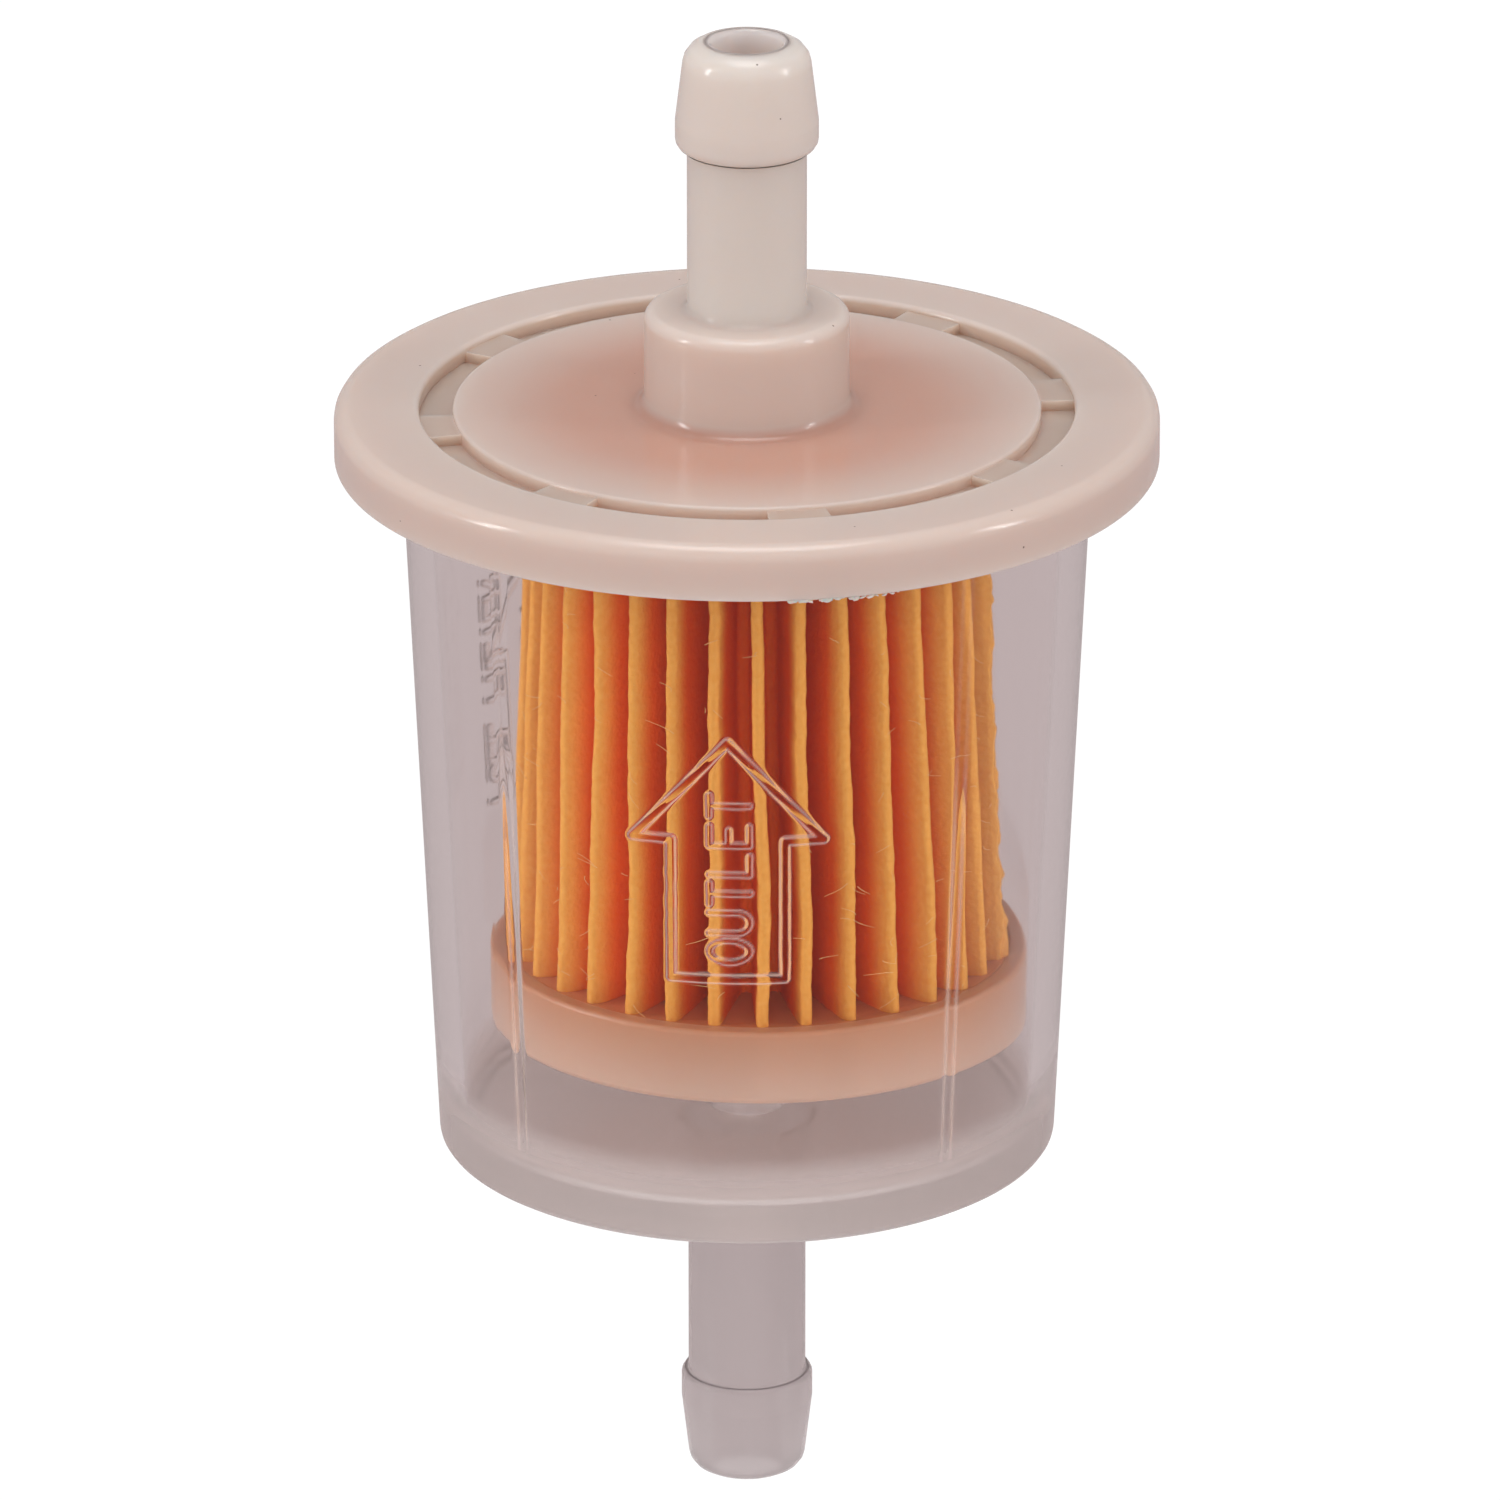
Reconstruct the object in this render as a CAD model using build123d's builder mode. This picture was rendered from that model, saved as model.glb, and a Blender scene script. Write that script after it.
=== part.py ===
"""In-line fuel filter for a small engine, for 1/4 inch (6.35 mm) fuel hose.

A clear moulded bowl with the inlet spigot is spin-welded to a milky moulded cap with the
outlet spigot. Inside hangs a pleated paper element: its upper edge is bonded under the
cap, its lower edge is potted into a closed cup. Fuel enters at the bottom, passes the
paper from outside to inside and leaves at the top.

Frame: millimetres, +Z along the flow, origin at the tip of the inlet spigot.
The front, which carries the moulded flow arrow, faces -Y.
"""

import os
from math import asin, atan2, cos, hypot, pi, radians, sin, tan

from build123d import *

os.makedirs("parts", exist_ok=True)

# ---------------------------------------------------------------- driving dimensions
overall_length = 85.0
passage_radius = 2.0  # fuel bore through both spigots
stem_radius = 3.3  # the hose sits here
tip_round = 1.0

inlet_barb_radius = 3.69
inlet_barb_length = 5.95
inlet_tip_radius = 3.18

outlet_barb_radius = 3.95
outlet_barb_length = 6.15
outlet_tip_radius = 3.38
barb_land = 1.0  # short straight stretch at the widest part of a barb
barb_round = 0.65
barb_edge_round = 0.3  # at the shoulder that grips the hose
bore_edge_round = 0.25
stem_foot_round = 0.8

bowl_base_z = 20.7
bowl_base_radius = 17.23
bowl_draft = 2.66  # degrees
bowl_wall = 1.5
bowl_floor = 1.8
bowl_edge_round = 0.5
bowl_floor_round = 1.0

flange_radius = 22.8
flange_base_z = 60.85
flange_top_z = 63.95
flange_edge_round = 0.5
flange_foot_round = 0.3

disc_radius = 16.25
disc_drop = 0.12  # the middle disc lies just below the flange's top
disc_thickness = 1.6
moat_radius = 18.1
moat_depth = 0.9
moat_edge_round = 0.2
web_count = 8  # drive lugs for the welding tool, across the moat
web_angle = 11.5
web_phase = 12.8  # turn of the lugs against the arrow
web_drop = 0.3

boss_radius = 5.66
boss_foot_radius = 6.0
boss_foot_height = 0.7
boss_top_z = 69.5
boss_edge_round = 0.4

weld_slot_inner = 17.25
weld_slot_outer = 19.4
weld_slot_depth = 1.2
lip_gap = 0.3  # melt between the bowl's lip and the slot's roof
bead_base_z = 61.0
pilot_inner = 16.1
pilot_length = 2.8
seat_inner = 13.4  # ring under the cap that holds the paper's upper edge
seat_outer = 14.4
seat_length = 2.0

rib_count = 4  # inside the bowl, they centre the element's cup
rib_width = 0.9
rib_depth = 0.5
rib_top_z = 48.5
rib_lead_in = 1.6  # sloped top that guides the cup in

cup_radius = 15.0
cup_wall = 1.0
cup_floor = 1.2
cup_base_z = 28.45
cup_height = 4.3
cup_base_round = 0.4
cup_rim_round = 0.25

paper = 0.38
pleat_count = 34
pleat_base_z = 29.95
pleat_top_z = 61.9
pleat_tip_base = 13.8  # radius over the pleats at their lower edge
pleat_tip_top = 12.66
pleat_root = 7.8  # radius inside the pleats at their lower edge
ridge_fold = 0.25  # radius of the paper's middle line round an outer fold
valley_fold = 0.42
seam_angle = -12.0  # the glued side seam, turned from +X towards the front
seam_depth = 2.2
seam_cut = 0.5  # the seam's fold is trimmed open by this much

upper_bond_base_z = 60.9
upper_bond_inner = 6.3
lower_bond_top_z = 31.1

arrow_base_z = 36.95
arrow_tip_z = 51.1
arrow_neck_z = 45.2
arrow_half_width = 5.3
arrow_shaft_half_width = 3.13
arrow_line = 0.55
arrow_height = 0.2
arrow_turns = (0.0, -132.5)  # degrees about +Z, from the front

# ---------------------------------------------------------------- worked-out levels
disc_z = flange_top_z - disc_drop
disc_under_z = disc_z - disc_thickness
moat_floor_z = flange_top_z - moat_depth
slot_roof_z = flange_base_z + weld_slot_depth
lip_z = slot_roof_z - lip_gap
bowl_floor_z = bowl_base_z + bowl_floor
cup_floor_z = cup_base_z + cup_floor
outlet_barb_z = overall_length - outlet_barb_length


def bowl_outside(z):
    """Radius of the bowl's outer wall at height z."""
    return bowl_base_radius + (z - bowl_base_z) * tan(radians(bowl_draft))


def bowl_inside(z):
    """Radius of the bowl's inner wall at height z."""
    return bowl_outside(z) - bowl_wall


def pleat_tip(z):
    """Radius over the paper's outer folds at height z."""
    rise = (z - pleat_base_z) / (pleat_top_z - pleat_base_z)
    return pleat_tip_base + rise * (pleat_tip_top - pleat_tip_base)


def pleat_outline(tip_radius, side):
    """Draw the folded paper's outline, on its outer side (1) or its inner side (-1).

    Each pleat is an arc round the outer fold, a flank, an arc round the inner fold and the
    flank back, all tangent to each other.
    """
    root_radius = pleat_root * tip_radius / pleat_tip_base
    half_pitch = pi / pleat_count
    shift = side * paper / 2
    ridge_round = ridge_fold + shift
    valley_round = valley_fold - shift
    ridge_centre = tip_radius - ridge_fold - paper / 2
    valley_centre = root_radius + valley_fold + paper / 2
    run_x = valley_centre * cos(half_pitch) - ridge_centre
    run_y = valley_centre * sin(half_pitch)
    lean = asin((ridge_fold + valley_fold) / hypot(run_x, run_y))
    normal = atan2(run_y, run_x) - pi / 2 + lean
    out = Vector(cos(normal), sin(normal))
    ridge_end = Vector(ridge_centre, 0) + out * ridge_round
    valley_start = Vector(valley_centre * cos(half_pitch), run_y) - out * valley_round
    for pleat in range(pleat_count):
        ridge_angle = radians(seam_angle) + 2 * pleat * half_pitch
        valley_angle = ridge_angle + half_pitch
        first = polar(ridge_end.X, -ridge_end.Y, ridge_angle)
        crest = polar(ridge_centre + ridge_round, 0, ridge_angle)
        last = polar(ridge_end.X, ridge_end.Y, ridge_angle)
        inward = polar(valley_start.X, valley_start.Y, ridge_angle)
        trough = polar(valley_centre - valley_round, 0, valley_angle)
        outward = polar(valley_start.X, -valley_start.Y, ridge_angle + 2 * half_pitch)
        following = polar(ridge_end.X, -ridge_end.Y, ridge_angle + 2 * half_pitch)
        ThreePointArc(first, crest, last)
        Line(last, inward)
        ThreePointArc(inward, trough, outward)
        Line(outward, following)


def polar(along, across, angle):
    """The point at (along, across) on axes turned by an angle in radians."""
    x = along * cos(angle) - across * sin(angle)
    y = along * sin(angle) + across * cos(angle)
    return (x, y)


# ---------------------------------------------------------------- bowl
with BuildPart() as arrow_mark:
    with BuildSketch(Plane(origin=(0, -flange_radius, 0), x_dir=(1, 0, 0), z_dir=(0, -1, 0))):
        with BuildLine():
            Polyline(
                (-arrow_shaft_half_width, arrow_base_z),
                (-arrow_shaft_half_width, arrow_neck_z),
                (-arrow_half_width, arrow_neck_z),
                (0, arrow_tip_z),
                (arrow_half_width, arrow_neck_z),
                (arrow_shaft_half_width, arrow_neck_z),
                (arrow_shaft_half_width, arrow_base_z),
                close=True,
            )
        trace(line_width=arrow_line)
    extrude(amount=-flange_radius / 2)
    with BuildSketch(Plane.XZ):
        with BuildLine():
            Polyline(
                (bowl_inside(bowl_floor_z) + bowl_wall / 2, bowl_floor_z),
                (bowl_outside(bowl_floor_z) + arrow_height, bowl_floor_z),
                (bowl_outside(flange_base_z) + arrow_height, flange_base_z),
                (bowl_inside(flange_base_z) + bowl_wall / 2, flange_base_z),
                close=True,
            )
        make_face()
    revolve(axis=Axis.Z, mode=Mode.INTERSECT)

with BuildPart() as guide_rib:
    with BuildSketch(Plane.XZ):
        with BuildLine():
            Polyline(
                (bowl_inside(bowl_base_z) + bowl_wall / 2, bowl_floor_z - bowl_floor / 2),
                (bowl_inside(bowl_floor_z) - rib_depth, bowl_floor_z - bowl_floor / 2),
                (bowl_inside(rib_top_z - rib_lead_in) - rib_depth, rib_top_z - rib_lead_in),
                (bowl_inside(rib_top_z) + bowl_wall / 4, rib_top_z),
                (bowl_inside(rib_top_z) + bowl_wall / 2, rib_top_z),
                close=True,
            )
        make_face()
    extrude(amount=rib_width / 2, both=True)

with BuildPart() as bowl:
    with BuildSketch(Plane.XZ) as bowl_section:
        with BuildLine():
            Polyline(
                (passage_radius, 0),
                (inlet_tip_radius, 0),
                (inlet_barb_radius, inlet_barb_length - barb_round - barb_land),
                (inlet_barb_radius, inlet_barb_length),
                (stem_radius, inlet_barb_length),
                (stem_radius, bowl_base_z),
                (bowl_base_radius, bowl_base_z),
                (bowl_outside(lip_z), lip_z),
                (bowl_inside(lip_z), lip_z),
                (bowl_inside(bowl_floor_z), bowl_floor_z),
                (passage_radius, bowl_floor_z),
                close=True,
            )
        make_face()
        corners = bowl_section.vertices()
        bore_edges = corners.filter_by_position(Axis.X, 0, passage_radius + 0.01)
        tip_edge = corners.sort_by_distance((inlet_tip_radius, 0))[0]
        barb_edge = corners.sort_by_distance((inlet_barb_radius, inlet_barb_length))[0]
        stem_foot = corners.sort_by_distance((stem_radius, bowl_base_z))[0]
        base_edge = corners.sort_by_distance((bowl_base_radius, bowl_base_z))[0]
        floor_edge = corners.sort_by_distance((bowl_inside(bowl_floor_z), bowl_floor_z))[0]
        fillet(bore_edges, bore_edge_round)
        fillet(tip_edge, tip_round)
        fillet(barb_edge, barb_edge_round)
        fillet(stem_foot, stem_foot_round)
        fillet(base_edge, bowl_edge_round)
        fillet(floor_edge, bowl_floor_round)
    revolve(axis=Axis.Z)
    with PolarLocations(0, rib_count, start_angle=180 / rib_count):
        add(guide_rib.part)
    for turn in arrow_turns:
        add(arrow_mark.part, rotation=(0, 0, turn))
bowl.part.label = "bowl"
export_step(bowl.part, "parts/bowl.step")

# ---------------------------------------------------------------- cap
with BuildPart() as drive_lug:
    with BuildSketch(Plane.XZ):
        with BuildLine():
            Polyline(
                (disc_radius - 0.5, moat_floor_z - 0.5),
                (moat_radius + 0.5, moat_floor_z - 0.5),
                (moat_radius + 0.5, flange_top_z - web_drop),
                (disc_radius - 0.5, flange_top_z - web_drop),
                close=True,
            )
        make_face()
    revolve(axis=Axis.Z, revolution_arc=web_angle)

with BuildPart() as cap:
    with BuildSketch(Plane.XZ) as cap_section:
        with BuildLine():
            Polyline(
                (passage_radius, disc_under_z),
                (seat_inner, disc_under_z),
                (seat_inner, disc_under_z - seat_length),
                (seat_outer, disc_under_z - seat_length),
                (seat_outer, disc_under_z),
                (pilot_inner, disc_under_z),
                (pilot_inner, disc_under_z - pilot_length),
                (weld_slot_inner, disc_under_z - pilot_length),
                (weld_slot_inner, slot_roof_z),
                (weld_slot_outer, slot_roof_z),
                (weld_slot_outer, flange_base_z),
                (flange_radius, flange_base_z),
                (flange_radius, flange_top_z),
                (moat_radius, flange_top_z),
                (moat_radius, moat_floor_z),
                (disc_radius, moat_floor_z),
                (disc_radius, disc_z),
                (boss_foot_radius, disc_z),
                (boss_foot_radius, disc_z + boss_foot_height),
                (boss_radius, disc_z + boss_foot_height),
                (boss_radius, boss_top_z),
                (stem_radius, boss_top_z),
                (stem_radius, outlet_barb_z),
                (outlet_barb_radius, outlet_barb_z),
                (outlet_barb_radius, outlet_barb_z + barb_round + barb_land),
                (outlet_tip_radius, overall_length),
                (passage_radius, overall_length),
                close=True,
            )
        make_face()
        corners = cap_section.vertices()
        bore_edges = corners.filter_by_position(Axis.X, 0, passage_radius + 0.01)
        tip_edge = corners.sort_by_distance((outlet_tip_radius, overall_length))[0]
        barb_edge = corners.sort_by_distance((outlet_barb_radius, outlet_barb_z))[0]
        stem_foot = corners.sort_by_distance((stem_radius, boss_top_z))[0]
        boss_edge = corners.sort_by_distance((boss_radius, boss_top_z))[0]
        flange_edge = corners.sort_by_distance((flange_radius, flange_top_z))[0]
        flange_foot = corners.sort_by_distance((flange_radius, flange_base_z))[0]
        moat_edge = corners.sort_by_distance((moat_radius, flange_top_z))[0]
        disc_edge = corners.sort_by_distance((disc_radius, disc_z))[0]
        fillet(bore_edges, bore_edge_round)
        fillet(tip_edge, tip_round)
        fillet(barb_edge, barb_edge_round)
        fillet(stem_foot, stem_foot_round / 2)
        fillet(boss_edge, boss_edge_round)
        fillet(flange_edge, flange_edge_round)
        fillet(flange_foot, flange_foot_round)
        fillet([moat_edge, disc_edge], moat_edge_round)
    revolve(axis=Axis.Z)
    with PolarLocations(0, web_count, start_angle=web_phase - web_angle / 2):
        add(drive_lug.part)
cap.part.label = "cap"
export_step(cap.part, "parts/cap.step")

# ---------------------------------------------------------------- paper element
with BuildPart() as pleated_media:
    for level in (pleat_base_z, pleat_top_z):
        with BuildSketch(Plane.XY.offset(level)):
            with BuildLine():
                pleat_outline(pleat_tip(level), 1)
            make_face()
    loft(ruled=True)
    for level in (pleat_base_z, pleat_top_z):
        with BuildSketch(Plane.XY.offset(level)):
            with BuildLine():
                pleat_outline(pleat_tip(level), -1)
            make_face()
    loft(ruled=True, mode=Mode.SUBTRACT)
    with BuildSketch(Plane.XZ.rotated((0, 0, seam_angle))):
        with BuildLine():
            Polyline(
                (pleat_tip_base - seam_cut, pleat_base_z),
                (pleat_tip_base + seam_cut, pleat_base_z),
                (pleat_tip_top + seam_cut, pleat_top_z),
                (pleat_tip_top - seam_cut, pleat_top_z),
                close=True,
            )
        make_face()
    extrude(amount=ridge_fold + paper, both=True, mode=Mode.SUBTRACT)
pleated_media.part.label = "pleated_media"
export_step(pleated_media.part, "parts/pleated_media.step")

with BuildPart() as pleat_seam_bond:
    with BuildSketch(Plane.XZ.rotated((0, 0, seam_angle))):
        with BuildLine():
            Polyline(
                (pleat_tip_base - seam_depth, pleat_base_z),
                (pleat_tip_base - seam_cut, pleat_base_z),
                (pleat_tip_top - seam_cut, pleat_top_z),
                (pleat_tip_top - seam_depth, pleat_top_z),
                close=True,
            )
        make_face()
    extrude(amount=ridge_fold, both=True)
    add(pleated_media.part, mode=Mode.SUBTRACT)
pleat_seam_bond.part.label = "pleat_seam_bond"
export_step(pleat_seam_bond.part, "parts/pleat_seam_bond.step")

# ---------------------------------------------------------------- element cup and bonds
with BuildPart() as element_end_cap:
    with BuildSketch(Plane.XZ) as cup_section:
        with BuildLine():
            Polyline(
                (0, cup_base_z),
                (cup_radius, cup_base_z),
                (cup_radius, cup_base_z + cup_height),
                (cup_radius - cup_wall, cup_base_z + cup_height),
                (cup_radius - cup_wall, cup_floor_z),
                (0, cup_floor_z),
                close=True,
            )
        make_face()
        corners = cup_section.vertices()
        base_edge = corners.sort_by_distance((cup_radius, cup_base_z))[0]
        rim_edge = corners.sort_by_distance((cup_radius, cup_base_z + cup_height))[0]
        fillet(base_edge, cup_base_round)
        fillet(rim_edge, cup_rim_round)
    revolve(axis=Axis.Z)
element_end_cap.part.label = "element_end_cap"
export_step(element_end_cap.part, "parts/element_end_cap.step")

with BuildPart() as lower_bond_disc:
    with BuildSketch(Plane.XY.offset(cup_floor_z)):
        Circle(cup_radius - cup_wall)
    extrude(amount=lower_bond_top_z - cup_floor_z)
    add(pleated_media.part, mode=Mode.SUBTRACT)
    add(pleat_seam_bond.part, mode=Mode.SUBTRACT)
lower_bond_disc.part.label = "lower_bond_disc"
export_step(lower_bond_disc.part, "parts/lower_bond_disc.step")

with BuildPart() as upper_bond_ring:
    with BuildSketch(Plane.XY.offset(upper_bond_base_z)):
        Circle(seat_inner)
        Circle(upper_bond_inner, mode=Mode.SUBTRACT)
    extrude(amount=disc_under_z - upper_bond_base_z)
    add(pleated_media.part, mode=Mode.SUBTRACT)
    add(pleat_seam_bond.part, mode=Mode.SUBTRACT)
upper_bond_ring.part.label = "upper_bond_ring"
export_step(upper_bond_ring.part, "parts/upper_bond_ring.step")

# ---------------------------------------------------------------- spin-weld bead
with BuildPart() as spin_weld_bead:
    with BuildSketch(Plane.XZ):
        with BuildLine():
            Polyline(
                (weld_slot_inner, bead_base_z),
                (bowl_inside(bead_base_z), bead_base_z),
                (bowl_inside(lip_z), lip_z),
                (bowl_outside(lip_z), lip_z),
                (bowl_outside(bead_base_z), bead_base_z),
                (weld_slot_outer, bead_base_z),
                (weld_slot_outer, slot_roof_z),
                (weld_slot_inner, slot_roof_z),
                close=True,
            )
        make_face()
    revolve(axis=Axis.Z)
spin_weld_bead.part.label = "spin_weld_bead"
export_step(spin_weld_bead.part, "parts/spin_weld_bead.step")
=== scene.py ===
# %% [markdown]
# # A clear in-line fuel filter
#
# The filter is two nylon mouldings, welded together, round a pleated paper element. The
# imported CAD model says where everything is. This script makes the pieces that are seen:
# the milky cap, the clear bowl with its raised flow arrows, the folded paper with its
# loose fibres, the cup under the paper, and the resin and weld that hold them together.

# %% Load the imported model
import math
import random

import bmesh
import bpy
import numpy as np
from mathutils import Matrix, Vector, noise


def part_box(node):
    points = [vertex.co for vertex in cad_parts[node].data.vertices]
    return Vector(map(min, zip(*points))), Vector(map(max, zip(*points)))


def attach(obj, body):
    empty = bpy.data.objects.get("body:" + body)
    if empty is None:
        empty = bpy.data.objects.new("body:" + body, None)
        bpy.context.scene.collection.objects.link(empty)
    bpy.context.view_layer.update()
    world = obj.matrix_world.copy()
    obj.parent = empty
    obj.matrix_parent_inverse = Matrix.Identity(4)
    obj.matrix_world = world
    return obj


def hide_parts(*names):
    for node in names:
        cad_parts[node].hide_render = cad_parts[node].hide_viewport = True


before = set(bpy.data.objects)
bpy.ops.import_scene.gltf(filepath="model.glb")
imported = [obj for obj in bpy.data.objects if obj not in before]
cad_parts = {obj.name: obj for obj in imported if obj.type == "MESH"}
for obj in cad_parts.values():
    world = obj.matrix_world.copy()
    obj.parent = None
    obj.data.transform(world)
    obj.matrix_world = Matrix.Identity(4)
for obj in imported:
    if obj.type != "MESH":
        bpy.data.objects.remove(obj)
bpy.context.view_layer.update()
print("packed nodes:", ", ".join(sorted(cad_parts)))

# %% [markdown]
# ## Sizes
#
# Outlines are given in millimetres, as (radius, height) on the filter's axis. The main
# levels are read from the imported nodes, so a piece lies exactly where its CAD node lies.

# %% Main sizes
MM = 0.001
AXIS = Vector((0, 0, 1))
CENTRE = Vector((0, 0, 0))


def node_size(node):
    """(lowest height, highest height, largest radius) of a CAD node, in millimetres."""
    low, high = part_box(node)
    return low.z / MM, high.z / MM, max(high.x, high.y) / MM


pilot_z, outlet_tip_z, flange_radius = node_size("cap")
inlet_tip_z, lip_z, lip_radius = node_size("bowl")
cup_base_z, cup_rim_z, cup_radius = node_size("element_end_cap")
paper_base_z, paper_top_z, _ = node_size("pleated_media")
potting_base_z, potting_top_z, potting_radius = node_size("lower_bond_disc")
bond_base_z, disc_under_z, bond_radius = node_size("upper_bond_ring")

bore_radius = 2.0
stem_radius = 3.3
flange_base_z = 60.85
flange_top_z = 63.95
print(f"filter {outlet_tip_z - inlet_tip_z:.1f} mm long, flange {2 * flange_radius:.1f} mm wide")

# %% [markdown]
# ## Tools for turned pieces
#
# Every moulding here is a body of revolution, so each starts as an outline that is spun
# round the axis. Real moulded corners are never sharp: `rounded` swaps each corner for an
# arc, and puts a point just outside each end of the arc, so that the flat face beside it
# still shades flat. A Screw modifier could do the turning, but the moat, the ribs and the
# arrows are worked into the turned mesh afterwards, so it has to be a real mesh by then.

# %% Outline and spin helpers
HOLD = 0.12  # mm from an arc's end to the point that keeps the next face flat
MERGE_DISTANCE = 1e-7


def rounded(corners, segments=4, closed=True):
    """The outline through corners (radius, height, rounding), with arcs for corners."""
    points = []
    for index, (radius, height, rounding) in enumerate(corners):
        here = Vector((radius, height))
        at_end = index in (0, len(corners) - 1) and not closed
        if rounding == 0 or at_end:
            points.append(here)
            continue
        back = Vector(corners[index - 1][:2]) - here
        ahead = Vector(corners[(index + 1) % len(corners)][:2]) - here
        half = back.angle(ahead) / 2
        reach = rounding / math.tan(half)
        inwards = (back.normalized() + ahead.normalized()).normalized()
        middle = here + inwards * rounding / math.sin(half)
        first = here + back.normalized() * reach
        last = here + ahead.normalized() * reach
        if back.length > reach + 2 * HOLD:
            points.append(first + back.normalized() * HOLD)
        for step in range(segments + 1):
            chord = first.lerp(last, step / segments) - middle
            points.append(middle + chord.normalized() * rounding)
        if ahead.length > reach + 2 * HOLD:
            points.append(last + ahead.normalized() * HOLD)
    return points


def spin_outline(points, sectors, first_angle=0.0, closed=True):
    """Spin an outline through sectors of (angle in degrees, steps) into a closed bmesh."""
    bm = bmesh.new()
    ring = [bm.verts.new((x * MM, 0, z * MM)) for x, z in points]
    loop = ring[1:] + ring[:1] if closed else ring[1:]
    edges = [bm.edges.new(pair) for pair in zip(ring, loop)]
    turn = Matrix.Rotation(math.radians(first_angle), 3, "Z")
    bmesh.ops.rotate(bm, verts=ring, cent=CENTRE, matrix=turn)
    geometry = ring + edges
    for sweep, steps in sectors:
        done = bmesh.ops.spin(
            bm, geom=geometry, cent=CENTRE, axis=AXIS, angle=math.radians(sweep), steps=steps
        )
        geometry = done["geom_last"]
    bmesh.ops.remove_doubles(bm, verts=bm.verts, dist=MERGE_DISTANCE)
    bmesh.ops.recalc_face_normals(bm, faces=bm.faces)
    return bm


def extrude_faces(bm, faces):
    """Extrude faces in place, and return the points of the new ones, ready to be moved."""
    done = bmesh.ops.extrude_face_region(bm, geom=faces)["geom"]
    bmesh.ops.delete(bm, geom=faces, context="FACES")
    return [item for item in done if isinstance(item, bmesh.types.BMVert)]


def to_piece(bm, name, replaces=(), sharp=40):
    """Turn a bmesh into a smooth-shaded object that rides on the filter."""
    for face in bm.faces:
        face.smooth = True
    for edge in bm.edges:
        edge.smooth = edge.calc_face_angle(0) < math.radians(sharp)
    mesh = bpy.data.meshes.new(name)
    bm.to_mesh(mesh)
    bm.free()
    piece = bpy.data.objects.new(name, mesh)
    bpy.context.scene.collection.objects.link(piece)
    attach(piece, "root")
    if replaces:
        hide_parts(*replaces)
    triangles = sum(len(polygon.vertices) - 2 for polygon in mesh.polygons)
    print(f"{name}: {triangles} triangles")
    return piece


# %% [markdown]
# ## The cap
#
# One milky nylon moulding: the outlet spigot with its barb, a boss, a thin disc, a moat
# and a thick flange. Underneath are a hub for the paper, a pilot ring that centres the
# bowl, and the slot that takes the bowl's lip. It could be built up from cylinders, but
# one outline gives every step its moulded rounding, and no joint lines between them.

# %% Cap outline
disc_z = 63.83
moat_floor_z = 63.05
lug_top_z = 63.65
moat_inner, moat_outer = 16.25, 18.1

cap_corners = [
    (bore_radius, disc_under_z, 0.25),
    (13.4, disc_under_z, 0.2),
    (13.4, disc_under_z - 2.0, 0.2),
    (14.4, disc_under_z - 2.0, 0.2),
    (14.4, disc_under_z, 0.2),
    (16.1, disc_under_z, 0.2),
    (16.1, pilot_z, 0.2),
    (17.25, pilot_z, 0.2),
    (17.25, 62.05, 0.1),
    (19.4, 62.05, 0.1),
    (19.4, flange_base_z, 0.15),
    (flange_radius, flange_base_z, 0.2),
    (flange_radius, flange_top_z, 0.8),
    (moat_outer, flange_top_z, 0.28),
    (moat_outer, lug_top_z, 0),
    (moat_inner, lug_top_z, 0),
    (moat_inner, disc_z, 0.16),
    (5.69, disc_z, 0.75),
    (5.66, 69.5, 0.55),
    (stem_radius, 69.5, 0.4),
    (stem_radius, 78.85, 0.1),
    (3.95, 78.85, 0.65),
    (3.95, 80.5, 1.2),
    (3.4, outlet_tip_z, 1.3),
    (bore_radius, outlet_tip_z, 0.3),
]
cap_outline = rounded(cap_corners)
print("cap outline points:", len(cap_outline))

# %% [markdown]
# Eight lugs bridge the moat, where the welding tool gripped the cap to spin it. The moat
# is first spun only as deep as the lugs' tops, and the stretches between the lugs are
# then extruded downwards, which leaves the lugs standing. Cutting pockets with a Boolean
# would give the same shape, but would leave uneven faces round each pocket.

# %% Cap spin, moat and lugs
LUGS = 8
LUG_COLUMNS = 6
COLUMNS_PER_LUG = 24
lug_angle = 360 / LUGS * LUG_COLUMNS / COLUMNS_PER_LUG
lug_phase = 12.8

cap_mesh = spin_outline(
    cap_outline, [(360, LUGS * COLUMNS_PER_LUG)], first_angle=lug_phase - lug_angle / 2
)


def column_of(point, columns, first_angle):
    """Which column of a full spin a point lies in."""
    angle = math.degrees(math.atan2(point.y, point.x)) - first_angle
    return int(angle % 360 / 360 * columns)


def in_moat(face):
    middle = face.calc_center_median()
    radius = math.hypot(middle.x, middle.y) / MM
    level = abs(middle.z / MM - lug_top_z) < 0.01
    column = column_of(middle, LUGS * COLUMNS_PER_LUG, lug_phase - lug_angle / 2)
    return level and moat_inner < radius < moat_outer and column % COLUMNS_PER_LUG >= LUG_COLUMNS


moat_faces = [face for face in cap_mesh.faces if in_moat(face)]
print("moat faces sunk:", len(moat_faces))
sunk_verts = extrude_faces(cap_mesh, moat_faces)
bmesh.ops.translate(cap_mesh, verts=sunk_verts, vec=AXIS * (moat_floor_z - lug_top_z) * MM)
bmesh.ops.recalc_face_normals(cap_mesh, faces=cap_mesh.faces)

cap = to_piece(cap_mesh, "cap_moulding", replaces=["cap"])

# %% [markdown]
# Nylon that squeezed out between the mould halves is left as a few thin slivers under the
# flange's front edge. They could be a rough strip, but real ones have broken up, so each
# is a small ball of its own, flattened, turned along the edge and pushed about by noise.

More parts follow.
